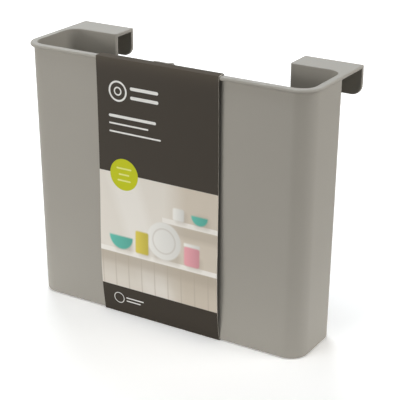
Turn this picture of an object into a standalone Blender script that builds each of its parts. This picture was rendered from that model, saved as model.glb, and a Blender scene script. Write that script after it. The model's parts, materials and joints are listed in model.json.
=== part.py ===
"""Under-shelf organizer for rolls of wrap and foil.

A one-piece moulded caddy stands on its base with its mouth up. Its rim runs back at two
corners into flat hooks that turn down behind the back wall, and the back wall is cut down
between them. Every wall has draft, and every moulded edge is rounded. A loose divider
stands in a moulded channel, and a card sleeve is wrapped round the middle: its front
panel bows out a little, and its ends are folded over the rim and over the cut back wall.

Inside the functions X runs along the width from the middle, Y runs back from the front
edge of the rim, and Z runs up from the underside of the caddy. All lengths are in metres
and all angles in degrees.
"""

import math

import bmesh
import bpy

# Caddy, outside sizes
RIM_WIDTH = 0.3112
CADDY_HEIGHT = 0.260
MOUTH_DEPTH = 0.0762
SIDE_DRAFT = 0.0031
FRONT_DRAFT = 0.0004
BACK_DRAFT = 0.0026
FRONT_CORNER = 0.0180
BACK_CORNER = 0.0160
BASE_EDGE = 0.0018

# Caddy, material thickness and edges
WALL = 0.0036
SIDE_OVERHANG = 0.0032
FRONT_OVERHANG = 0.0036
RIM_THICKNESS = 0.0034
RIM_ROUND = 0.0015
EDGE_ROUND = 0.0008

# Hooks that go over the shelf
HOOK_WIDTH = 0.0595
SHELF_GAP = 0.0228
LIP_DROP = 0.0286
LIP_CORNER = 0.010

# Cut-out of the back wall, with its rounded inner edge
CUT_DROP = 0.045
CUT_CORNER = 0.012
CUT_EDGE_ROUND = 0.0024

# Divider and the channel that it stands in
DIVIDER_THICKNESS = 0.0020
CHANNEL_CLEARANCE = 0.0003
CHANNEL_WALL = 0.0016
CHANNEL_GRIP = 0.0032
CHANNEL_FLOOR_RISE = 0.0030
FOOT_WIDTH = 0.020
FOOT_THICKNESS = 0.0018
FOOT_HEIGHT = 0.014
FOOT_RISE = 0.0012
NOSE_RISE = 0.0009
NOSE_LENGTH = 0.0160
NOSE_FALL = 0.0038
NOSE_CHAMFER = 0.004
DIVIDER_CORNER = 0.012
DIVIDER_TURN = 60
DIVIDER_CLEARANCE = 0.0006
DROP_BELOW_CUT = 0.004

# Card sleeve
CARD = 0.0005
SEAT_GAP = 0.0003
SLEEVE_WIDTH = 0.1319
SLEEVE_SHIFT = -0.0013
FRONT_FLAP = 0.010
BACK_FLAP = 0.010
FOLD_RADIUS = 0.0006
FOLD_CROWN = 0.0006
SLEEVE_BOW = 0.0039
BOW_SKEW = 3.0

# Counts that set how finely the curves are cut, and the least angle of an edge that is rounded
ARC_STEPS = 10
ROUND_SEGMENTS = 3
SMALL_ARC_STEPS = 8
EDGE_STEPS = 3
BOW_STEPS = 20
SHARP_ANGLE = 40

# Sizes that follow from the ones above
HALF_RIM = RIM_WIDTH / 2
HALF_TOP = HALF_RIM - SIDE_OVERHANG
RIM_UNDERSIDE = CADDY_HEIGHT - RIM_THICKNESS
RIM_CORNER = FRONT_CORNER + SIDE_OVERHANG
HOOK_BACK = MOUTH_DEPTH + SHELF_GAP + RIM_THICKNESS
LIP_FACE = MOUTH_DEPTH + SHELF_GAP
HOOK_END = HALF_RIM - HOOK_WIDTH
LIP_BOTTOM = CADDY_HEIGHT - LIP_DROP
CUT_BOTTOM = CADDY_HEIGHT - CUT_DROP
BASE_LIFT = CARD + SEAT_GAP
FLAP_FACE = FRONT_OVERHANG + WALL + SEAT_GAP + FOLD_CROWN + CARD
DIVIDER_FRONT = FLAP_FACE + DIVIDER_CLEARANCE


def mix(a, b, share):
    return a + (b - a) * share


def wall_size(z, inset=0.0):
    """Half width, front, back, front corner and back corner of the box at one height."""
    rise = z / CADDY_HEIGHT
    half = HALF_TOP - SIDE_DRAFT * (1 - rise) - inset
    front = FRONT_OVERHANG + FRONT_DRAFT * (1 - rise) + inset
    back = MOUTH_DEPTH - BACK_DRAFT * (1 - rise) - inset
    return half, front, back, FRONT_CORNER - inset, BACK_CORNER - inset


def back_face(z):
    """Y of the back wall's outer face at one height."""
    return wall_size(z)[2]


def arc(cx, cy, radius, start, stop, steps):
    """Points on an arc, with angles in degrees."""
    points = []
    for i in range(steps + 1):
        angle = math.radians(mix(start, stop, i / steps))
        points.append((cx + radius * math.cos(angle), cy + radius * math.sin(angle)))
    return points


def wall_chain(z, inset=0.0):
    """The box's outline from the right end of the back face, round the front, to the left end."""
    half, front, back, near, far = wall_size(z, inset)
    plan = arc(half - far, back - far, far, 90, 0, ARC_STEPS)
    plan += arc(half - near, front + near, near, 0, -90, ARC_STEPS)
    plan += arc(near - half, front + near, near, -90, -180, ARC_STEPS)
    plan += arc(far - half, back - far, far, 180, 90, ARC_STEPS)
    return [(x, y, z) for x, y in plan]


def rim_chain(z):
    """The rim's outer edge from the right side round the front to the left side."""
    plan = arc(HALF_RIM - RIM_CORNER, RIM_CORNER, RIM_CORNER, 0, -90, ARC_STEPS)
    plan += arc(RIM_CORNER - HALF_RIM, RIM_CORNER, RIM_CORNER, -90, -180, ARC_STEPS)
    return [(x, y, z) for x, y in plan]


def outer_rim():
    """The corners along the outer edge of the rim and of both hooks' flanks, above and below."""
    corners = rim_chain(CADDY_HEIGHT) + rim_chain(RIM_UNDERSIDE)
    for flank in (-HALF_RIM, HALF_RIM):
        corners += [(flank, HOOK_BACK, CADDY_HEIGHT), (flank, LIP_FACE, RIM_UNDERSIDE)]
    return corners


def cut_path(margin=0.0):
    """X and Z along the cut-out's edge, from its left arc to its right arc."""
    side = HOOK_END + margin
    low = CUT_BOTTOM - margin
    radius = CUT_CORNER + margin
    path = arc(radius - side, low + radius, radius, 180, 270, SMALL_ARC_STEPS)
    return path + arc(side - radius, low + radius, radius, 270, 360, SMALL_ARC_STEPS)


def cut_rounds():
    """How far each line of the cut-out's rounded edge lies from the cut and from the inner face."""
    steps = []
    for i in range(EDGE_STEPS + 1):
        angle = math.radians(90 * i / EDGE_STEPS)
        steps.append((CUT_EDGE_ROUND * (1 - math.sin(angle)), CUT_EDGE_ROUND * (1 - math.cos(angle))))
    return steps


def cut_line(margin, depth):
    """A line round the cut-out from the top of the left hook to the top of the right hook."""
    side = HOOK_END + margin
    top = back_face(CADDY_HEIGHT) - WALL + depth
    path = [(x, back_face(z) - WALL + depth, z) for x, z in cut_path(margin)]
    return [(-side, top, CADDY_HEIGHT)] + path + [(side, top, CADDY_HEIGHT)]


def lip_path(side):
    """X and Z along a lip's free edge, from the hook's inner end to its outer end."""
    path = arc(HOOK_END + LIP_CORNER, LIP_BOTTOM + LIP_CORNER, LIP_CORNER, 180, 270, SMALL_ARC_STEPS)
    path += arc(HALF_RIM - LIP_CORNER, LIP_BOTTOM + LIP_CORNER, LIP_CORNER, 270, 360, SMALL_ARC_STEPS)
    return [(side * x, z) for x, z in path]


class Skin:
    """A closed surface put together from flat faces that share their corners."""

    def __init__(self):
        self.mesh = bmesh.new()
        self.corners = {}

    def corner(self, point):
        """The vertex at a point, shared by points that agree to a ten-thousandth of a millimetre."""
        key = tuple(round(value, 7) for value in point)
        if key not in self.corners:
            self.corners[key] = self.mesh.verts.new(point)
        return self.corners[key]

    def face(self, points):
        self.mesh.faces.new([self.corner(point) for point in points])

    def strip(self, first, second):
        for i in range(len(first) - 1):
            self.face([first[i], first[i + 1], second[i + 1], second[i]])

    def ring(self, first, second):
        self.strip(first + first[:1], second + second[:1])

    def weigh_rounds(self, outer_edge):
        """Mark the outer edge to be rounded by RIM_ROUND and every other sharp edge by EDGE_ROUND."""
        bmesh.ops.recalc_face_normals(self.mesh, faces=self.mesh.faces)
        outer = {self.corner(point) for point in outer_edge}
        weights = self.mesh.edges.layers.float.new("bevel_weight_edge")
        for edge in self.mesh.edges:
            if edge.calc_face_angle() > math.radians(SHARP_ANGLE):
                width = RIM_ROUND if outer.issuperset(edge.verts) else EDGE_ROUND
                edge[weights] = width / max(RIM_ROUND, EDGE_ROUND)

    def stand(self, name, material, parent):
        """Turn the surface into an object with outward faces."""
        bmesh.ops.recalc_face_normals(self.mesh, faces=self.mesh.faces)
        data = bpy.data.meshes.new(name)
        self.mesh.to_mesh(data)
        self.mesh.free()
        data.materials.append(material)
        thing = bpy.data.objects.new(name, data)
        bpy.context.scene.collection.objects.link(thing)
        thing.parent = parent
        return thing


def prism(skin, outline, start, stop):
    """Close an outline of (Y, Z) points between two X planes."""
    near = [(start, y, z) for y, z in outline]
    far = [(stop, y, z) for y, z in outline]
    skin.face(near)
    skin.face(far)
    skin.ring(near, far)


def add_outer_walls(skin):
    rounds = []
    for i in range(EDGE_STEPS + 1):
        angle = math.radians(90 * i / EDGE_STEPS)
        inset = BASE_EDGE * (1 - math.sin(angle))
        rounds.append(wall_chain(BASE_EDGE * (1 - math.cos(angle)), inset))
    skin.face(rounds[0])
    for lower, upper in zip(rounds, rounds[1:]):
        skin.ring(lower, upper)
    top = wall_chain(RIM_UNDERSIDE)
    skin.strip(rounds[-1], top)
    cut = [(x, back_face(z), z) for x, z in cut_path()]
    left = (-HOOK_END, back_face(RIM_UNDERSIDE), RIM_UNDERSIDE)
    right = (HOOK_END, back_face(RIM_UNDERSIDE), RIM_UNDERSIDE)
    skin.face([rounds[-1][0], rounds[-1][-1], top[-1], left] + cut + [right, top[0]])


def add_inner_walls(skin):
    rounds = []
    for i in range(EDGE_STEPS + 1):
        angle = math.radians(90 * i / EDGE_STEPS)
        inset = WALL + BASE_EDGE * (1 - math.sin(angle))
        rounds.append(wall_chain(WALL + BASE_EDGE * (1 - math.cos(angle)), inset))
    skin.face(rounds[0])
    for lower, upper in zip(rounds, rounds[1:]):
        skin.ring(lower, upper)
    top = wall_chain(CADDY_HEIGHT, WALL)
    skin.strip(rounds[-1], top)
    border = cut_line(*cut_rounds()[0])
    skin.face([rounds[-1][0], rounds[-1][-1], top[-1]] + border + [top[0]])


def add_cut_edge(skin):
    """The rounded inner edge of the back wall's cut-out, and the cut itself."""
    lines = [cut_line(margin, depth) for margin, depth in cut_rounds()]
    for first, second in zip(lines, lines[1:]):
        skin.strip(first, second)
    back = [(x, back_face(z), z) for x, z in cut_path()]
    skin.strip(lines[-1][1:-1], back)


def add_hook_faces(skin, side):
    """The end, side, lip and free edge of one hook."""
    path = lip_path(side)
    outer = [(x, HOOK_BACK, z) for x, z in path]
    inner = [(x, LIP_FACE, z) for x, z in path]
    end = side * HOOK_END
    flank = side * HALF_RIM
    skin.face(outer + [(flank, HOOK_BACK, CADDY_HEIGHT), (end, HOOK_BACK, CADDY_HEIGHT)])
    skin.face(inner + [(flank, LIP_FACE, RIM_UNDERSIDE), (end, LIP_FACE, RIM_UNDERSIDE)])
    skin.strip(outer, inner)
    turn = LIP_BOTTOM + LIP_CORNER
    skin.face([
        (flank, RIM_CORNER, CADDY_HEIGHT), (flank, HOOK_BACK, CADDY_HEIGHT), (flank, HOOK_BACK, turn),
        (flank, LIP_FACE, turn), (flank, LIP_FACE, RIM_UNDERSIDE), (flank, RIM_CORNER, RIM_UNDERSIDE)])
    low = CUT_BOTTOM + CUT_CORNER
    depth = WALL - CUT_EDGE_ROUND
    skin.face([
        (end, back_face(low) - depth, low), (end, back_face(CADDY_HEIGHT) - depth, CADDY_HEIGHT),
        (end, HOOK_BACK, CADDY_HEIGHT), (end, HOOK_BACK, turn), (end, LIP_FACE, turn),
        (end, LIP_FACE, RIM_UNDERSIDE), (end, back_face(RIM_UNDERSIDE), RIM_UNDERSIDE),
        (end, back_face(low), low)])


def add_rim(skin):
    """The rim's top, which is also the top of both hooks, with its edge and its underside."""
    upper = rim_chain(CADDY_HEIGHT)
    lower = rim_chain(RIM_UNDERSIDE)
    skin.strip(upper, lower)
    right = [(HOOK_END, HOOK_BACK), (HALF_RIM, HOOK_BACK)]
    left = [(-HALF_RIM, HOOK_BACK), (-HOOK_END, HOOK_BACK)]
    lines = [cut_line(margin, depth) for margin, depth in cut_rounds()]
    mouth = wall_chain(CADDY_HEIGHT, WALL)[::-1]
    skin.face([(x, y, CADDY_HEIGHT) for x, y in right] + upper
              + [(x, y, CADDY_HEIGHT) for x, y in left]
              + [line[0] for line in lines[::-1]] + mouth + [line[-1] for line in lines])
    low_y = back_face(RIM_UNDERSIDE)
    right = [(HOOK_END, LIP_FACE), (HALF_RIM, LIP_FACE)]
    left = [(-HALF_RIM, LIP_FACE), (-HOOK_END, LIP_FACE), (-HOOK_END, low_y)]
    skin.face([(x, y, RIM_UNDERSIDE) for x, y in right] + lower
              + [(x, y, RIM_UNDERSIDE) for x, y in left]
              + wall_chain(RIM_UNDERSIDE)[::-1] + [(HOOK_END, low_y, RIM_UNDERSIDE)])


def divider_back(z):
    """Y of the divider's back edge at one height, clear of the sleeve's tucked back flap."""
    return back_face(z) - WALL - SEAT_GAP - CARD - DIVIDER_CLEARANCE


def make_channel(material, parent):
    """Two ribs that run down the front wall, along the floor and up the back wall."""
    foot_seat = CADDY_HEIGHT - FOOT_HEIGHT - CHANNEL_CLEARANCE
    back_top = CUT_BOTTOM - BACK_FLAP - DROP_BELOW_CUT
    bury = WALL / 2
    front_wall = wall_size(0.0, bury)[1]
    front = DIVIDER_FRONT + CHANNEL_GRIP
    grip_top = back_top - CHANNEL_GRIP
    floor = WALL + CHANNEL_FLOOR_RISE
    outline = [
        (front_wall, bury), (back_face(0.0) - bury, bury), (back_face(back_top) - bury, back_top),
        (divider_back(grip_top) - CHANNEL_GRIP, grip_top), (divider_back(floor) - CHANNEL_GRIP, floor),
        (front, floor), (front, foot_seat), (front_wall, foot_seat)]
    inner = DIVIDER_THICKNESS / 2 + CHANNEL_CLEARANCE
    skin = Skin()
    for side in (-1, 1):
        prism(skin, outline, side * inner, side * (inner + CHANNEL_WALL))
    ribs = skin.stand("channel_ribs", material, parent)
    ribs.hide_render = True
    ribs.display_type = "WIRE"
    return ribs


def make_caddy(material, parent):
    skin = Skin()
    add_outer_walls(skin)
    add_inner_walls(skin)
    add_cut_edge(skin)
    add_hook_faces(skin, -1)
    add_hook_faces(skin, 1)
    add_rim(skin)
    skin.weigh_rounds(outer_rim())
    caddy = skin.stand("caddy", material, parent)
    soften(caddy)
    ribs = make_channel(material, parent)
    union = caddy.modifiers.new("channel", "BOOLEAN")
    union.operation = "UNION"
    union.solver = "EXACT"
    union.object = ribs
    return caddy


def make_divider(material, parent):
    """A plate with a sloping top edge and a wide foot that stands a little above the rim."""
    front = DIVIDER_FRONT
    floor = WALL + CHANNEL_CLEARANCE
    nose_end = front + NOSE_LENGTH
    nose_top = CADDY_HEIGHT + NOSE_RISE
    nose_low = nose_top - NOSE_FALL
    turn = CUT_BOTTOM - DROP_BELOW_CUT - DIVIDER_CORNER
    back = divider_back(turn)
    outline = [(front, floor), (divider_back(floor), floor), (back, turn)]
    outline += arc(back - DIVIDER_CORNER, turn, DIVIDER_CORNER, 0, DIVIDER_TURN, SMALL_ARC_STEPS)[1:]
    outline += [(nose_end + NOSE_CHAMFER, nose_low - NOSE_CHAMFER), (nose_end, nose_low)]
    outline += [(front + EDGE_ROUND, nose_top), (front, nose_top - EDGE_ROUND)]
    half = DIVIDER_THICKNESS / 2
    skin = Skin()
    prism(skin, outline, -half, half)
    divider = skin.stand("divider", material, parent)
    foot = Skin()
    top = CADDY_HEIGHT + FOOT_RISE
    low = CADDY_HEIGHT - FOOT_HEIGHT
    prism(foot, [(front, low), (front + FOOT_THICKNESS, low), (front + FOOT_THICKNESS, top), (front, top)],
          -FOOT_WIDTH / 2, FOOT_WIDTH / 2)
    plate = foot.stand("divider_foot", material, parent)
    plate.hide_render = True
    plate.display_type = "WIRE"
    union = divider.modifiers.new("foot", "BOOLEAN")
    union.operation = "UNION"
    union.solver = "EXACT"
    union.object = plate
    return divider


def fillet(points, radius, steps):
    """Round the inner corners of a path of (Y, Z) points."""
    path = [points[0]]
    for before, point, after in zip(points, points[1:], points[2:]):
        first = unit(point, before)
        second = unit(point, after)
        half = math.acos(first[0] * second[0] + first[1] * second[1]) / 2
        reach = radius / math.tan(half)
        middle = unit((0, 0), (first[0] + second[0], first[1] + second[1]))
        inward = radius / math.sin(half)
        centre = (point[0] + middle[0] * inward, point[1] + middle[1] * inward)
        start = (point[0] + first[0] * reach, point[1] + first[1] * reach)
        stop = (point[0] + second[0] * reach, point[1] + second[1] * reach)
        angle = math.atan2(start[1] - centre[1], start[0] - centre[0])
        turn = math.atan2(stop[1] - centre[1], stop[0] - centre[0]) - angle
        turn = (turn + math.pi) % (2 * math.pi) - math.pi
        for i in range(steps + 1):
            step = angle + turn * i / steps
            path.append((centre[0] + radius * math.cos(step), centre[1] + radius * math.sin(step)))
    path.append(points[-1])
    return path


def unit(start, stop):
    reach = math.hypot(stop[0] - start[0], stop[1] - start[1])
    return ((stop[0] - start[0]) / reach, (stop[1] - start[1]) / reach)


def offset(path, distance):
    """Move a path to its left by one distance, with mitred corners."""
    moved = []
    for i, point in enumerate(path):
        before = unit(path[max(i - 1, 0)], path[max(i, 1)])
        after = unit(path[min(i, len(path) - 2)], path[min(i + 1, len(path) - 1)])
        normal = (-(before[1] + after[1]), before[0] + after[0])
        scale = distance / (1 + before[0] * after[0] + before[1] * after[1])
        moved.append((point[0] + normal[0] * scale, point[1] + normal[1] * scale))
    return moved


def sleeve_outline():
    """The card's section: flap, fold over the rim, front, base, back, fold over the cut edge, flap.

    The front panel bows out, and BOW_SKEW sets how far down its fullest place lies.
    """
    front_flap = FLAP_FACE - CARD
    crest = CADDY_HEIGHT + SEAT_GAP + FOLD_CROWN
    top = (-SEAT_GAP, CADDY_HEIGHT + SEAT_GAP)
    toe = (wall_size(0.0)[1] - SEAT_GAP, -SEAT_GAP)
    heel = (back_face(0.0) + SEAT_GAP, -SEAT_GAP)
    edge = (back_face(CUT_BOTTOM) + SEAT_GAP, CUT_BOTTOM + SEAT_GAP)
    inside = back_face(CUT_BOTTOM - BACK_FLAP) - WALL - SEAT_GAP
    corners = [(front_flap, CADDY_HEIGHT - FRONT_FLAP), (front_flap, crest), top, toe, heel, edge,
               (inside, CUT_BOTTOM + SEAT_GAP), (inside, CUT_BOTTOM - BACK_FLAP)]
    path = fillet(corners, FOLD_RADIUS, EDGE_STEPS)
    first = 1 + 2 * (EDGE_STEPS + 1)
    bowed = []
    for i in range(1, BOW_STEPS):
        share = i / BOW_STEPS
        y = mix(path[first - 1][0], path[first][0], share)
        z = mix(path[first - 1][1], path[first][1], share)
        bowed.append((y - SLEEVE_BOW * math.sin(math.pi * share ** BOW_SKEW), z))
    path = path[:first] + bowed + path[first:]
    return path + offset(path, -CARD)[::-1]


def make_sleeve(material, parent):
    skin = Skin()
    prism(skin, sleeve_outline(), SLEEVE_SHIFT - SLEEVE_WIDTH / 2, SLEEVE_SHIFT + SLEEVE_WIDTH / 2)
    return skin.stand("card_sleeve", material, parent)


def soften(thing):
    """Round the edges of a moulding by the shares that its mesh holds."""
    bevel = thing.modifiers.new("softened_edges", "BEVEL")
    bevel.width = max(RIM_ROUND, EDGE_ROUND)
    bevel.segments = ROUND_SEGMENTS
    bevel.limit_method = "WEIGHT"


def make_material(name, colour, roughness):
    material = bpy.data.materials.new(name)
    material.use_nodes = True
    shader = material.node_tree.nodes["Principled BSDF"]
    shader.inputs["Base Color"].default_value = colour
    shader.inputs["Roughness"].default_value = roughness
    shader.inputs["Metallic"].default_value = 0.0
    return material


def main():
    for thing in list(bpy.data.objects):
        bpy.data.objects.remove(thing)
    outline = sleeve_outline()
    middle = (min(y for y, z in outline) + HOOK_BACK) / 2
    stand = bpy.data.objects.new("organizer", None)
    bpy.context.scene.collection.objects.link(stand)
    stand.location = (0.0, -middle, BASE_LIFT)
    plastic = make_material("warm_grey_plastic", (0.29, 0.275, 0.245, 1.0), 0.55)
    frosted = make_material("pale_grey_plastic", (0.33, 0.315, 0.285, 1.0), 0.5)
    card = make_material("printed_card", (0.055, 0.046, 0.038, 1.0), 0.6)
    make_caddy(plastic, stand)
    make_divider(frosted, stand)
    make_sleeve(card, stand)


main()
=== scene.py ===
# %% [markdown]
# # A caddy for rolls of wrap and foil
#
# The object is a tall, shallow tub, moulded in one piece of warm grey plastic. At its two back
# corners the rim runs on into flat hooks that hold it on a cupboard shelf. A thin divider stands
# loose inside, and a printed card sleeve is wrapped round the middle for the shop.
#
# The packed model already has the shapes and the joints. This lesson dresses it: a camera, a
# pale studio, smooth shading and three finishes. Nothing is moved, so every piece still slides
# with its own body.

import json
import math

import bpy
from mathutils import Matrix, Vector

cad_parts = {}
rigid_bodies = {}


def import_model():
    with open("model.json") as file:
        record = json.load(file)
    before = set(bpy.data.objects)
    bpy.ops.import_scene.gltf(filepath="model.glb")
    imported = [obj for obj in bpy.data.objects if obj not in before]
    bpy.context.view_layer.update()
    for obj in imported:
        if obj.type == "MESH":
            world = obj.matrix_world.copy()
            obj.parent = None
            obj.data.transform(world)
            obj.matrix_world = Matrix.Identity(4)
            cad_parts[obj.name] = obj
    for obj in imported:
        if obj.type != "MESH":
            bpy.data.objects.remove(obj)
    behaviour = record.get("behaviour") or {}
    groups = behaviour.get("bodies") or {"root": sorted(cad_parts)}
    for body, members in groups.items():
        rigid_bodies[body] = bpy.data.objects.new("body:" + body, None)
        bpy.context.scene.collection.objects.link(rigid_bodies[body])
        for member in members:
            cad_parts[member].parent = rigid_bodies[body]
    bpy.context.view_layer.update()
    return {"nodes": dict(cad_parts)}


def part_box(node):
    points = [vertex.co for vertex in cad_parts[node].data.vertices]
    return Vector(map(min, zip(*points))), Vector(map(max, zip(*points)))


for leftover in list(bpy.data.objects):
    bpy.data.objects.remove(leftover)
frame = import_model()
print("pieces:", sorted(frame["nodes"]))

# %% [markdown]
# ## The camera
#
# A product photograph is taken with a long lens from well back, so its upright lines lean only a
# little. A camera could be aimed with a constraint, but a pose and a tiny roll are easier to
# read as three angles. The back vector points from the object to the camera, and the other two
# axes follow from it by cross products.

# %% Place the camera
AZIMUTH = math.radians(31.608)
ELEVATION = math.radians(22.038)
ROLL = math.radians(0.060)
CAMERA_FROM_TUB = Vector((0.60311, -0.90655, 0.57131))
FRAME_PIXELS = 400
FOCAL_PIXELS = 1256.86
SENSOR_WIDTH = 36.0
CLIP_END = 50.0


def camera_axes(azimuth, elevation, roll):
    """The camera's right, up and back axes."""
    back = Vector((
        math.sin(azimuth) * math.cos(elevation),
        -math.cos(azimuth) * math.cos(elevation),
        math.sin(elevation)))
    right = Vector((0, 0, 1)).cross(back).normalized()
    up = back.cross(right)
    turned_right = math.cos(roll) * right + math.sin(roll) * up
    turned_up = math.cos(roll) * up - math.sin(roll) * right
    return turned_right, turned_up, back


camera_data = bpy.data.cameras.new("camera")
camera_data.sensor_width = SENSOR_WIDTH
camera_data.lens = FOCAL_PIXELS * SENSOR_WIDTH / FRAME_PIXELS
camera_data.clip_end = CLIP_END
camera = bpy.data.objects.new("camera", camera_data)
bpy.context.scene.collection.objects.link(camera)
turn = Matrix(camera_axes(AZIMUTH, ELEVATION, ROLL)).transposed()
TUB_LOW, TUB_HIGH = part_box("caddy")
rim_front = Vector((0.0, TUB_LOW.y, TUB_LOW.z))
camera.matrix_world = Matrix.Translation(rim_front + CAMERA_FROM_TUB) @ turn.to_4x4()
bpy.context.scene.camera = camera
print("lens in mm:", round(camera_data.lens, 1))

# %% [markdown]
# ## Sums on sockets
#
# A finish is a network of nodes, and most of them are small sums. Wired by hand they fill pages.
# So one small class wraps the output of a node and adds a Math node whenever two of them are
# added, multiplied or compared. The text then reads like the sum that it stands for.

# %% A number that changes over a surface
class Signal:
    """One node output, ready for sums."""

    def __init__(self, network, socket):
        self.network = network
        self.socket = socket

    def maths(self, operation, *values):
        made = self.network.node("Math", {"operation": operation}, dict(enumerate(values)))
        return made["Value"]

    def __add__(self, other):
        return self.maths("ADD", self, other)

    def __radd__(self, other):
        return self.maths("ADD", other, self)

    def __sub__(self, other):
        return self.maths("SUBTRACT", self, other)

    def __rsub__(self, other):
        return self.maths("SUBTRACT", other, self)

    def __mul__(self, other):
        return self.maths("MULTIPLY", self, other)

    def __rmul__(self, other):
        return self.maths("MULTIPLY", other, self)

    def __truediv__(self, other):
        return self.maths("DIVIDE", self, other)

    def __pow__(self, other):
        return self.maths("POWER", self, other)

    def __abs__(self):
        return self.maths("ABSOLUTE", self)

    def __gt__(self, other):
        return self.maths("GREATER_THAN", self, other)

    def __lt__(self, other):
        return self.maths("LESS_THAN", self, other)

    def at_least(self, other):
        return self.maths("MAXIMUM", self, other)

    def at_most(self, other):
        return self.maths("MINIMUM", self, other)

    def held(self, low=0.0, high=1.0):
        """The same number, kept between two limits."""
        return self.at_least(low).at_most(high)


print("a Signal also has:", [name for name in vars(Signal) if not name.startswith("__")])

# %% [markdown]
# ## A network of nodes
#
# The second class holds the nodes of one material, or of the world. One method adds any node:
# settings first, because they decide which sockets the node has, and then the values or links of
# those sockets. Colours are blended with Mix nodes, since a Math node would turn them grey.

# %% Nodes round one shader
class Network:
    """The nodes that lead to one shader."""

    def __init__(self, tree, shader_name):
        self.tree = tree
        self.shader = tree.nodes[shader_name]

    def node(self, kind, settings=None, inputs=None):
        """Add a node and return its outputs by name."""
        node = self.tree.nodes.new("ShaderNode" + kind)
        for key, value in (settings or {}).items():
            setattr(node, key, value)
        by_name = {socket.identifier: socket for socket in node.inputs}
        for key, value in (inputs or {}).items():
            socket = node.inputs[key] if isinstance(key, int) else by_name[key]
            if isinstance(value, Signal):
                self.tree.links.new(value.socket, socket)
            else:
                socket.default_value = value
        return {socket.identifier: Signal(self, socket) for socket in node.outputs}

    def paint(self, under, over, mask):
        """One colour laid over another where the mask is 1."""
        made = self.node("Mix", {"data_type": "RGBA"},
                         {"Factor_Float": mask, "A_Color": under, "B_Color": over})
        return made["Result_Color"]

    def set(self, **sockets):
        """Give the shader's sockets values or links; an underscore stands for a space."""
        for key, value in sockets.items():
            socket = self.shader.inputs[key.replace("_", " ")]
            if isinstance(value, Signal):
                self.tree.links.new(value.socket, socket)
            else:
                socket.default_value = value

    def seen(self):
        """1 for what a camera, a reflection or a clear thing looks at, 0 for what gives light."""
        ray = self.node("LightPath")
        either = ray["Is Camera Ray"].at_least(ray["Is Glossy Ray"])
        return either.at_least(ray["Is Transmission Ray"])


# %% [markdown]
# ## A finish
#
# A finish is a network with a material of its own. It adds the three things that a surface needs
# again and again: where a point lies on the piece, noise, and relief made from a height.

# %% A material that nodes are added to
class Finish(Network):
    """A material under construction."""

    def __init__(self, name):
        self.material = bpy.data.materials.new(name)
        self.material.use_nodes = True
        super().__init__(self.material.node_tree, "Principled BSDF")

    def place(self):
        """X, Y and Z on the piece, in metres, and the vector that holds them."""
        vector = self.node("TexCoord")["Object"]
        parts = self.node("SeparateXYZ", None, {"Vector": vector})
        return parts["X"], parts["Y"], parts["Z"], vector

    def grain(self, vector, scale, detail=2.0, stretch=(1.0, 1.0, 1.0)):
        """Noise from 0 to 1 with about scale grains to the metre."""
        stretched = self.node("VectorMath", {"operation": "MULTIPLY"},
                              {"Vector": vector, "Vector_001": stretch})["Vector"]
        inputs = {"Vector": stretched, "Scale": scale, "Detail": detail}
        return self.node("TexNoise", None, inputs)["Fac"]

    def relief(self, height, distance, strength=1.0):
        """Turn a height from 0 to 1 into a normal for the shader."""
        inputs = {"Height": height, "Distance": distance, "Strength": strength}
        return self.node("Bump", None, inputs)["Normal"]


# %% Colours
WHITE = (1.0, 1.0, 1.0, 1.0)
BLACK = (0.0, 0.0, 0.0, 1.0)


def linear(red, green, blue):
    """A colour read off a screen, 0 to 255, as the linear numbers that a shader wants."""
    shares = [value / 255 for value in (red, green, blue)]
    curved = [s / 12.92 if s <= 0.04045 else ((s + 0.055) / 1.055) ** 2.4 for s in shares]
    return (*curved, 1.0)


def scaled(colour, factor):
    """A colour made darker or paler."""
    return (*[value * factor for value in colour[:3]], 1.0)


def around(colour, share):
    """The same colour a share darker and a share paler."""
    return scaled(colour, 1.0 - share), scaled(colour, 1.0 + share)


print("mid grey 128 is", round(linear(128, 128, 128)[0], 3), "in linear light")

# %% [markdown]
# ## The studio
#
# The photograph has a white sweep with only a soft shadow at the foot of the tub. A huge curved
# backdrop could be modelled, but a flat floor and a white world look the same from any side. The
# world shows white to the camera and to reflections and gives the tub almost no light, so the
# plastic keeps its own colour. The floor glows a little for the same two, more with distance, so
# that it stays white where the lamps no longer reach, and it still takes the tub's shadow. Only a
# strip of it round the tub throws light back up, as a white card under it would. That brightens
# the foot of the walls and leaves the undersides of the hooks dark, as they are on the real one.

# %% The floor
FLOOR_SIZE = 12.0
FLOOR_SHOWN = (0.98, 0.960, 0.920, 1.0)
FLOOR_ROUGHNESS = 0.9
FLOOR_GLOW = 0.21
GLOW_RADIUS = 0.14
GLOW_FADE = 3.0
CARD_MARGIN = 0.12
CARD_FADE = 0.10
CARD_WHITE = 0.85
STUDIO_DARK = 0.10


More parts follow.
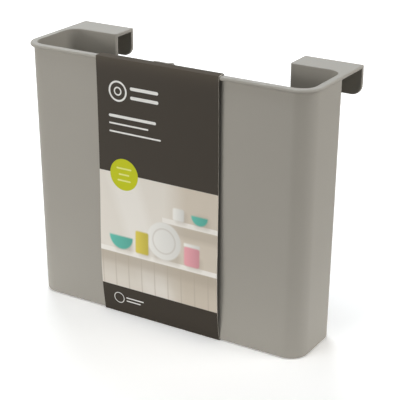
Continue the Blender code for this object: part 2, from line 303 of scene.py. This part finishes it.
def make_floor():
    """A floor that shows white, takes a shadow and throws light up only near the tub."""
    mesh = bpy.data.meshes.new("floor")
    half = FLOOR_SIZE / 2
    corners = [(-half, -half, 0), (half, -half, 0), (half, half, 0), (-half, half, 0)]
    mesh.from_pydata(corners, [], [(0, 1, 2, 3)])
    floor = bpy.data.objects.new("floor", mesh)
    bpy.context.scene.collection.objects.link(floor)
    finish = Finish("white_sweep")
    x, y = finish.place()[:2]
    distance = (x ** 2.0 + y ** 2.0) ** 0.5
    beside = (abs(x) - TUB_HIGH.x).at_least(0.0)
    before = (abs(y) + TUB_LOW.y).at_least(0.0)
    from_tub = (beside ** 2.0 + before ** 2.0) ** 0.5
    off_card = ((from_tub - CARD_MARGIN) / CARD_FADE).held()
    bounce = finish.paint(scaled(WHITE, CARD_WHITE), scaled(WHITE, STUDIO_DARK), off_card)
    shown = finish.seen()
    glow = FLOOR_GLOW + (1.0 - FLOOR_GLOW) * ((distance - GLOW_RADIUS) / GLOW_FADE).held()
    finish.set(
        Base_Color=finish.paint(bounce, FLOOR_SHOWN, shown),
        Emission_Color=finish.paint(BLACK, WHITE, shown * glow),
        Emission_Strength=1.0,
        Roughness=FLOOR_ROUGHNESS,
        Specular_IOR_Level=0.0)
    mesh.materials.append(finish.material)
    return floor


floor = make_floor()
print("floor in metres:", [round(side, 2) for side in floor.dimensions[:2]])

# %% The world
WORLD_LIGHT = 0.03


def light_world():
    """White to look at, but nearly dark as a lamp."""
    world = bpy.data.worlds.new("studio")
    world.use_nodes = True
    bpy.context.scene.world = world
    sky = Network(world.node_tree, "Background")
    sky.set(Color=WHITE, Strength=WORLD_LIGHT + (1.0 - WORLD_LIGHT) * sky.seen())


light_world()
bpy.context.scene.view_settings.view_transform = "Standard"
print("world light on the tub:", WORLD_LIGHT)

# %% [markdown]
# ## The lamps
#
# The front of the tub is lit from the left and its side from the right, and the rounded corner
# between them, which faces the camera, stays darker than both. That is how soft boxes on the two
# sides of a camera draw a corner. One overhead makes the rim the palest part, and one behind
# keeps the hooks and the back from going dark. These two are a little cooler, like skylight.
# All six are area lamps: a sun would throw a hard shadow, which the sweep doesn't show.

# %% Six soft boxes
AIM = Vector((0.0, 0.0, 0.13))
LAMP_DISTANCE = 2.2
LAMP_SIZE = 0.9
NEUTRAL = (1.0, 1.0, 1.0)
COOL = (0.94, 1.0, 1.08)


def soft_box(name, azimuth, elevation, power, tint):
    """A square lamp that looks at the tub. Azimuth 0 is in front, 90 on its right."""
    turn = math.radians(azimuth)
    rise = math.radians(elevation)
    away = Vector((
        math.sin(turn) * math.cos(rise),
        -math.cos(turn) * math.cos(rise),
        math.sin(rise)))
    data = bpy.data.lights.new(name, "AREA")
    data.shape = "SQUARE"
    data.size = LAMP_SIZE
    data.energy = power
    data.color = tint
    lamp = bpy.data.objects.new(name, data)
    bpy.context.scene.collection.objects.link(lamp)
    lamp.location = AIM + LAMP_DISTANCE * away
    lamp.visible_camera = False
    lamp.rotation_mode = "QUATERNION"
    lamp.rotation_quaternion = (-away).to_track_quat("-Z", "Y")
    return lamp


lamps = [
    soft_box("front_left", -35.0, 3.0, 29.2, NEUTRAL),
    soft_box("front_middle", -10.0, 22.0, 11.4, NEUTRAL),
    soft_box("right_high", 110.0, 40.0, 11.4, NEUTRAL),
    soft_box("right_low", 95.0, 3.0, 30.0, NEUTRAL),
    soft_box("overhead", 0.0, 80.0, 16.7, COOL),
    soft_box("behind_left", -140.0, 50.0, 25.0, COOL),
]
print("lamps:", [(lamp.name, round(lamp.data.energy, 1)) for lamp in lamps])

# %% [markdown]
# ## Smooth shading
#
# The packed meshes are triangles that share no corners, so each one is shaded on its own and
# the rounds look faceted. The vertices are welded, edges sharper than fifty degrees stay sharp,
# and the rest is shaded as one skin. A Weighted Normal modifier then lets the large flat faces
# win over the narrow rounds beside them. All of this is in modifiers: the mesh stays as packed.

# %% Weld, mark the sharp edges, weight the normals
WELD_DISTANCE = 0.00001
SHARP_ANGLE = math.radians(50)


def shading_group():
    """A node group that shades smooth, apart from sharp edges."""
    group = bpy.data.node_groups.new("smooth_by_angle", "GeometryNodeTree")
    group.interface.new_socket("Mesh", in_out="INPUT", socket_type="NodeSocketGeometry")
    group.interface.new_socket("Mesh", in_out="OUTPUT", socket_type="NodeSocketGeometry")
    nodes = group.nodes
    source = nodes.new("NodeGroupInput")
    target = nodes.new("NodeGroupOutput")
    merge = nodes.new("GeometryNodeMergeByDistance")
    merge.inputs["Distance"].default_value = WELD_DISTANCE
    angle = nodes.new("GeometryNodeInputMeshEdgeAngle")
    sharper = nodes.new("FunctionNodeCompare")
    sharper.operation = "GREATER_THAN"
    sharper.inputs["B"].default_value = SHARP_ANGLE
    normals = nodes.new("GeometryNodeSetMeshNormal")
    normals.mode = "SHARPNESS"
    normals.inputs["Remove Custom"].default_value = True
    group.links.new(source.outputs[0], merge.inputs["Geometry"])
    group.links.new(angle.outputs["Unsigned Angle"], sharper.inputs["A"])
    group.links.new(merge.outputs["Geometry"], normals.inputs["Mesh"])
    group.links.new(sharper.outputs["Result"], normals.inputs["Edge Sharpness"])
    group.links.new(normals.outputs["Mesh"], target.inputs[0])
    return group


smooth = shading_group()
for name, node in frame["nodes"].items():
    skin = node.modifiers.new("smooth_by_angle", "NODES")
    skin.node_group = smooth
    weighted = node.modifiers.new("weighted_normals", "WEIGHTED_NORMAL")
    weighted.keep_sharp = True
    print("smoothed:", name)

# %% [markdown]
# ## Moulded plastic
#
# The tub is grey polypropylene or ABS, coloured through. The outside takes the fine spark-eroded
# grain of the steel, which breaks up the reflections. The inside was against the polished core,
# so it is a little shinier and carries faint upright drag lines from being pulled off it. The
# grain is noise at two scales in a Bump, and the same noise moves the colour by a few percent.

# %% Where the tub's core was
WALL = 0.0036
SIDE_OVERHANG = 0.0032
FRONT_OVERHANG = 0.0036
MOUTH_DEPTH = 0.0762
CUT_DROP = 0.045
RIM_TOP = TUB_HIGH.z
FRONT_INSIDE = TUB_LOW.y + FRONT_OVERHANG + WALL
BACK_INSIDE = TUB_LOW.y + MOUTH_DEPTH - WALL
SIDE_INSIDE = TUB_HIGH.x - SIDE_OVERHANG - WALL


def inside_tub(x, y, z):
    """1 on the faces that were against the mould's core."""
    across = abs(x) < SIDE_INSIDE
    deep = (y > FRONT_INSIDE - WALL / 2) * (y < BACK_INSIDE + WALL / 2)
    return across * deep * (z < RIM_TOP - WALL / 4)


print("inside of the tub in mm:", round(2000 * SIDE_INSIDE, 1), "by",
      round(1000 * (BACK_INSIDE - FRONT_INSIDE), 1))

# %% The plastic of the tub and the divider
GREY = linear(158, 153, 143)
PALER = 1.08
TONE_SHARE = 0.06
FINE_GRAINS = 2400.0
FINE_SHARE = 0.7
COARSE_GRAINS = 700.0
CLOUDS = 14.0
DRAG_LINES = 900.0
DRAG_HEIGHT = 0.35
GRAIN_DEPTH = 0.00006
GRAIN_STRENGTH = 0.5
CORE_POLISH = 0.08
ROUGHNESS_SPREAD = 0.12
PLASTIC_SPECULAR = 0.3


def moulded_plastic(name, colour, roughness):
    """Plastic with grain outside and faint upright lines inside the tub."""
    finish = Finish(name)
    x, y, z, vector = finish.place()
    inside = inside_tub(x, y, z)
    fine = finish.grain(vector, FINE_GRAINS)
    coarse = finish.grain(vector, COARSE_GRAINS)
    cloud = finish.grain(vector, CLOUDS, detail=3.0)
    drag = finish.grain(vector, DRAG_LINES, stretch=(1.0, 1.0, 0.02)) * DRAG_HEIGHT
    texture = fine * FINE_SHARE + coarse * (1.0 - FINE_SHARE)
    tone = (cloud * 0.5 + fine * 0.5).held()
    height = finish.node("Mix", {"data_type": "FLOAT"},
                         {"Factor_Float": inside, "A_Float": texture, "B_Float": drag})
    spread = (coarse - 0.5) * ROUGHNESS_SPREAD
    finish.set(
        Base_Color=finish.paint(*around(colour, TONE_SHARE), tone),
        Roughness=(roughness - inside * CORE_POLISH + spread).held(),
        Specular_IOR_Level=PLASTIC_SPECULAR,
        Normal=finish.relief(height["Result_Float"], GRAIN_DEPTH, GRAIN_STRENGTH))
    return finish.material


caddy_finish = moulded_plastic("caddy_plastic_textured", GREY, roughness=0.62)
divider_finish = moulded_plastic("divider_plastic_satin", scaled(GREY, PALER), roughness=0.50)
frame["nodes"]["caddy"].data.materials[0] = caddy_finish
frame["nodes"]["divider"].data.materials[0] = divider_finish
print("nodes in the caddy's finish:", len(caddy_finish.node_tree.nodes))

# %% [markdown]
# ## Printed card
#
# The sleeve is half-millimetre board, printed on one face. Three faces have to look different:
# the printed outside, the plain back of the board, and the raw cut edge. They could be three
# material slots, but the mesh is not to be touched, so the finish works it out. The wall that
# the card wraps is a U in section. A face that points away from the nearest point of the U is
# printed, one that points towards it is bare, and one that points along X is a cut edge.

# %% Which face of the card is this?
SLEEVE_LOW, SLEEVE_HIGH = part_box("card_sleeve")
FRONT_WALL_Y = FRONT_INSIDE - WALL / 2
BACK_WALL_Y = BACK_INSIDE + WALL / 2
BACK_SLOPE = 0.01
BASE_MIDDLE = TUB_LOW.z + WALL / 2
RIM_MIDDLE = RIM_TOP - WALL / 2
CUT_MIDDLE = RIM_MIDDLE - CUT_DROP


def card_faces(finish, y, z):
    """Masks for the printed face, the raw edge and the top of a fold."""
    normal = finish.node("NewGeometry")["True Normal"]
    points = finish.node("SeparateXYZ", None, {"Vector": normal})
    behind = y > (FRONT_WALL_Y + BACK_WALL_Y) / 2
    back_wall_y = BACK_WALL_Y - (RIM_TOP - z) * BACK_SLOPE
    wall_y = FRONT_WALL_Y + behind * (back_wall_y - FRONT_WALL_Y)
    wall_top = RIM_MIDDLE + behind * (CUT_MIDDLE - RIM_MIDDLE)
    nearest_z = z.at_least(BASE_MIDDLE).at_most(wall_top)
    outward = points["Y"] * (y - wall_y) + points["Z"] * (z - nearest_z)
    return outward > 0.0, abs(points["X"]) > 0.5, points["Z"].held()


print("sleeve in mm:", [round(1000 * side, 1) for side in SLEEVE_HIGH - SLEEVE_LOW])

# %% [markdown]
# ## Shapes for the print
#
# A print is flat shapes of ink. Each shape here is a depth: how far a point lies inside its
# outline. Divided by a softness and held between 0 and 1, the depth becomes a mask with a clean
# edge at any zoom, which a painted image would not have.

# %% Discs, rounded blocks and rings of ink
CRISP = 0.00012
BLURRED = 0.0009


def inked(depth, soft):
    """A mask that is 1 inside an outline and fades over a softness at its edge."""
    return (depth / (2 * soft) + 0.5).held()


def reach(x, z, centre):
    """Distance from a centre."""
    return ((x - centre[0]) ** 2.0 + (z - centre[1]) ** 2.0) ** 0.5


def disc(x, z, centre, radius, soft=CRISP):
    """A filled circle."""
    return inked(radius - reach(x, z, centre), soft)


def ring(x, z, centre, radius, width, soft=CRISP):
    """A circle drawn with a line of some width."""
    return inked(width / 2 - abs(reach(x, z, centre) - radius), soft)


def block(x, z, centre, half_width, half_height, corner, soft=CRISP):
    """A rectangle with rounded corners."""
    over_x = (abs(x - centre[0]) - (half_width - corner)).at_least(0.0)
    over_z = (abs(z - centre[1]) - (half_height - corner)).at_least(0.0)
    return inked(corner - (over_x ** 2.0 + over_z ** 2.0) ** 0.5, soft)


def together(shapes):
    """Several shapes of one ink as one mask."""
    mask = shapes[0]
    for shape in shapes[1:]:
        mask = mask.at_least(shape)
    return mask


print("softness of the ink's edges, in mm:", [round(1000 * soft, 2) for soft in (CRISP, BLURRED)])

# %% [markdown]
# ## The picture panel
#
# A printed picture could be an image texture, but an image goes soft when the camera comes close
# and ties the piece to a file. This one is a still life of plain crockery on two shelves, built
# from the shapes above. Each vessel turns darker on the side away from the window and stands on a
# soft shadow, and every outline is blurred by about a millimetre, as in a small photograph.

# %% Colours of the still life
CREAM = linear(226, 219, 207)
SAND = linear(203, 190, 171)
SHELF = linear(238, 233, 224)
SHELF_SHADE = linear(178, 166, 149)
YELLOW = linear(222, 203, 88)
TEAL = linear(104, 190, 172)
PINK = linear(236, 168, 174)
MILK = linear(243, 240, 232)
print("colours in the picture:", len((CREAM, SAND, SHELF, SHELF_SHADE, YELLOW, TEAL, PINK, MILK)))

# %% The wall behind the shelves
LOW_SHELF = 0.0720
HIGH_SHELF = 0.1150
SHELF_THICKNESS = 0.0050
SHELF_EDGE_SOFT = 0.0004
HIGH_SHELF_LEFT = 0.004
FAR_LEFT = -0.2
SHADE_FADE = 0.003
THROWN_HALF = 0.006
THROWN_DROP = 0.005
THROWN_SHARE = 0.5
SAND_FROM = 0.018
SAND_FADE = 0.012
SAND_SHARE = 0.75
WINDOW_X = -0.032
WINDOW_Z = 0.120
WINDOW_HALF = 0.016
WINDOW_FADE = 0.006
WINDOW_LEAN = 0.35
WINDOW_SHARE = 0.6
BOARDS_SOFT = 0.0005
BOARDS_DARKEN_FROM = 0.040
BOARDS_DARKEN_OVER = 0.024
BOARDS_SHARE = 0.25
BOARDS_SHARE_MORE = 0.45
GROOVE_SPACING = 0.0150
GROOVE_HALF = 0.0006
GROOVE_SHARE = 0.5


def back_wall(finish, x, z):
    """A plain wall with a patch of window light, and grooved boards below the low shelf."""
    colour = finish.paint(CREAM, SAND, inked(x - SAND_FROM, SAND_FADE) * SAND_SHARE)
    lean = (z - WINDOW_Z) * WINDOW_LEAN
    window = inked(WINDOW_HALF - abs(x - WINDOW_X + lean), WINDOW_FADE)
    colour = finish.paint(colour, SHELF, window * WINDOW_SHARE)
    below = inked(LOW_SHELF - SHELF_THICKNESS - z, BOARDS_SOFT)
    higher = ((z - BOARDS_DARKEN_FROM) / BOARDS_DARKEN_OVER).held()
    share = BOARDS_SHARE + higher * BOARDS_SHARE_MORE
    colour = finish.paint(colour, SHELF_SHADE, below * share)
    groove = finish.node("Math", {"operation": "PINGPONG"},
                         {0: x - FAR_LEFT, 1: GROOVE_SPACING / 2})["Value"]
    line = inked(GROOVE_HALF - abs(groove), SHELF_EDGE_SOFT) * below
    return finish.paint(colour, SHELF_SHADE, line * GROOVE_SHARE)


def shelf_board(finish, colour, x, z, top, left):
    """A shelf from its left end to the panel's edge, with the shade that it throws down."""
    underside = top - SHELF_THICKNESS
    length = inked(x - left, BLURRED / 2)
    thrown = inked(THROWN_HALF - abs(z - (underside - THROWN_DROP)), SHADE_FADE) * length
    colour = finish.paint(colour, SHELF_SHADE, thrown * THROWN_SHARE)
    middle = top - SHELF_THICKNESS / 2
    edge = inked(SHELF_THICKNESS / 2 - abs(z - middle), SHELF_EDGE_SOFT)
    return finish.paint(colour, SHELF, edge * length)


print("tops of the shelves, in mm:", [round(1000 * top, 1) for top in (LOW_SHELF, HIGH_SHELF)])

# %% What stands on the shelves
FOOTINGS = [
    (-0.043, LOW_SHELF, 0.010),
    (-0.019, LOW_SHELF, 0.007),
    (0.006, LOW_SHELF, 0.015),
    (0.037, LOW_SHELF, 0.008),
    (0.022, HIGH_SHELF, 0.006),
    (0.045, HIGH_SHELF, 0.008),
]
PLATE = (0.006, LOW_SHELF + 0.019)
PLATE_RADIUS = 0.019
PLATE_WELL = 0.0125
PLATE_LINE = 0.0010
PLATE_LINE_SHARE = 0.5
PLATE_TURN = 0.030
BOWLS = [
    (TEAL, -0.043, LOW_SHELF, 0.0135),
    (TEAL, 0.045, HIGH_SHELF, 0.0090),
]
JARS = [
    (YELLOW, -0.019, LOW_SHELF + 0.0115, 0.0075, 0.0115, 0.0020),
    (PINK, 0.037, LOW_SHELF + 0.0100, 0.0085, 0.0100, 0.0030),
    (MILK, 0.037, LOW_SHELF + 0.0212, 0.0088, 0.0017, 0.0010),
    (MILK, 0.022, HIGH_SHELF + 0.0062, 0.0062, 0.0062, 0.0020),
]
print("vessels in the picture:", 1 + len(BOWLS) + len(JARS), "counting a lid")

# %% The crockery
FAR_SIDE = 0.66
TURN_SHARE = 0.8
FOOTING_SHIFT = 0.003
FOOTING_RISE = 0.004
FOOTING_HALF = 0.006
FOOTING_CORNER = 0.004
FOOTING_SHARE = 0.55


def vessel(finish, colour, shape, tint, x, middle, half_width):
    """Paint one vessel, darker on the side away from the window."""
    turned = ((x - middle) / (2 * half_width) + 0.5).held()
    shaded = finish.paint(tint, scaled(tint, FAR_SIDE), turned * TURN_SHARE)
    return finish.paint(colour, shaded, shape)


def crockery(finish, x, z):
    """The colour of the picture panel."""
    colour = back_wall(finish, x, z)
    colour = shelf_board(finish, colour, x, z, LOW_SHELF, FAR_LEFT)
    colour = shelf_board(finish, colour, x, z, HIGH_SHELF, HIGH_SHELF_LEFT)
    for middle, shelf, half_width in FOOTINGS:
        centre = (middle + FOOTING_SHIFT, shelf + FOOTING_RISE)
        shadow = block(x, z, centre, half_width, FOOTING_HALF, FOOTING_CORNER, SHADE_FADE)
        colour = finish.paint(colour, SHELF_SHADE, shadow * FOOTING_SHARE)
    plate = disc(x, z, PLATE, PLATE_RADIUS, BLURRED)
    colour = vessel(finish, colour, plate, MILK, x, PLATE[0], PLATE_TURN)
    well = ring(x, z, PLATE, PLATE_WELL, PLATE_LINE, BLURRED)
    colour = finish.paint(colour, SHELF_SHADE, well * PLATE_LINE_SHARE)
    for tint, middle, shelf, radius in BOWLS:
        round_part = disc(x, z, (middle, shelf + radius), radius, BLURRED)
        bowl = round_part * inked(shelf + radius - z, BLURRED)
        colour = vessel(finish, colour, bowl, tint, x, middle, radius)
    for tint, middle, centre_z, half_width, half_height, corner in JARS:
        jar = block(x, z, (middle, centre_z), half_width, half_height, corner, BLURRED)
        colour = vessel(finish, colour, jar, tint, x, middle, half_width)
    return colour


print("soft shadows on the shelves:", len(FOOTINGS))

# %% [markdown]
# ## The sleeve's layout
#
# Dark charcoal above and below, the picture between them, and a lime disc across the upper
# border. Plain pale bars and rings of ink stand on the charcoal. They are shapes like the rest,
# in lists of centres and sizes, so that loops draw them. The ink runs on over both folds, and
# only the cut edges show the pale board. Towards the top of the front fold the charcoal is
# painted paler, a painted highlight where the fold catches the light, and the fold is dull on
# top.

# %% Colours and places of the print
CHARCOAL = linear(58, 52, 44)
LIME = linear(194, 197, 30)
PALE_LIME = linear(226, 228, 140)
OFF_WHITE = linear(232, 230, 224)
BOARD = linear(236, 230, 218)
BOARD_BACK = linear(150, 144, 133)
# Painted highlight: the paler charcoal painted towards the top of the front fold.
FOLD_HIGHLIGHT = scaled(CHARCOAL, 1.7)
FOLD_HIGHLIGHT_DEPTH = 0.030
FOLD_HIGHLIGHT_CURVE = 4.0
TONE_SWING = 0.05
PANEL_LOW = 0.0308
PANEL_HIGH = 0.1495
ROUNDEL = (-0.0390, 0.1488)
ROUNDEL_RADIUS = 0.0158
LINE_HEIGHT = 0.0008
LINES = [
    (0.006, 0.0085),
    (0.0, 0.0060),
    (-0.006, 0.0075),
]
RINGS = [
    ((-0.0438, 0.2305), 0.0092, 0.0018),
    ((-0.0438, 0.2305), 0.0036, 0.0014),
    ((-0.0486, 0.0172), 0.0056, 0.0007),
]
BARS = [
    ((-0.0145, 0.2350), 0.0155, 0.0016),
    ((-0.0145, 0.2262), 0.0155, 0.0016),
    ((-0.0283, 0.2060), 0.0263, 0.0014),
    ((-0.0326, 0.1985), 0.0220, 0.0008),
    ((-0.0258, 0.1905), 0.0288, 0.0008),
    ((-0.0299, 0.0190), 0.0103, 0.0006),
    ((-0.0319, 0.0154), 0.0083, 0.0006),
]
print("bars and rings of ink:", len(BARS) + len(RINGS))

# %% All the ink
def ink(finish, x, z, front, cloud):
    """The printed face: ground, painted highlight on the front fold, picture, marks and lime
    disc.
    """
    colour = finish.paint(*around(CHARCOAL, TONE_SWING), cloud)
    # Painted highlight: the charcoal turns paler towards the top of the front fold, where it
    # catches the light.
    fold_highlight = ((z - (RIM_TOP - FOLD_HIGHLIGHT_DEPTH)) / FOLD_HIGHLIGHT_DEPTH).held() ** FOLD_HIGHLIGHT_CURVE
    colour = finish.paint(colour, FOLD_HIGHLIGHT, fold_highlight)
    panel = inked(z - PANEL_LOW, CRISP) * inked(PANEL_HIGH - z, CRISP) * front
    colour = finish.paint(colour, crockery(finish, x, z), panel)
    marks = [ring(x, z, centre, radius, width) for centre, radius, width in RINGS]
    marks += [block(x, z, centre, half, tall, tall) for centre, half, tall in BARS]
    colour = finish.paint(colour, OFF_WHITE, together(marks) * front)
    colour = finish.paint(colour, LIME, disc(x, z, ROUNDEL, ROUNDEL_RADIUS) * front)
    lines = [block(x, z, (ROUNDEL[0], ROUNDEL[1] + rise), half, LINE_HEIGHT, LINE_HEIGHT)
             for rise, half in LINES]
    return finish.paint(colour, PALE_LIME, together(lines) * front)


print("the front panel's picture, in mm:", round(1000 * (PANEL_HIGH - PANEL_LOW), 1), "high")

# %% The card's finish
FIBRES = 1500.0
FIBRE_DEPTH = 0.00004
FIBRE_STRENGTH = 0.4
PLIES = 4000.0
PLY_DARK = 0.88
PLY_PALE = 1.08
INK_CLOUDS = 30.0
INK_FILLS = 0.7
INK_SHEEN = 0.27
FOLD_DULL = 0.25
BOARD_ROUGHNESS = 0.85
CARD_SPREAD = 0.08
CARD_SPECULAR = 0.15


def printed_card():
    """Ink, plain board and cut edge, each where it belongs."""
    finish = Finish("card_printed_charcoal")
    x, y, z, vector = finish.place()
    printed, raw, fold_top = card_faces(finish, y, z)
    front = y < TUB_LOW.y + WALL / 2
    fibre = finish.grain(vector, FIBRES)
    cloud = finish.grain(vector, INK_CLOUDS, detail=3.0)
    ply = finish.grain(vector, PLIES, stretch=(1.0, 1.0, 0.1))
    plain = finish.paint(*around(BOARD_BACK, TONE_SWING), fibre)
    colour = finish.paint(plain, ink(finish, x, z, front, cloud), printed)
    edge = finish.paint(scaled(BOARD, PLY_DARK), scaled(BOARD, PLY_PALE), ply)
    inked_face = printed * (1 - raw)
    sheen = inked_face * (INK_SHEEN - FOLD_DULL * fold_top)
    finish.set(
        Base_Color=finish.paint(colour, edge, raw),
        Roughness=(BOARD_ROUGHNESS - sheen + (cloud - 0.5) * CARD_SPREAD).held(),
        Specular_IOR_Level=CARD_SPECULAR,
        Normal=finish.relief(fibre * (1 - inked_face * INK_FILLS), FIBRE_DEPTH, FIBRE_STRENGTH))
    return finish.material


card_finish = printed_card()
frame["nodes"]["card_sleeve"].data.materials[0] = card_finish
print("nodes in the card's finish:", len(card_finish.node_tree.nodes))

# %% [markdown]
# ## Finish
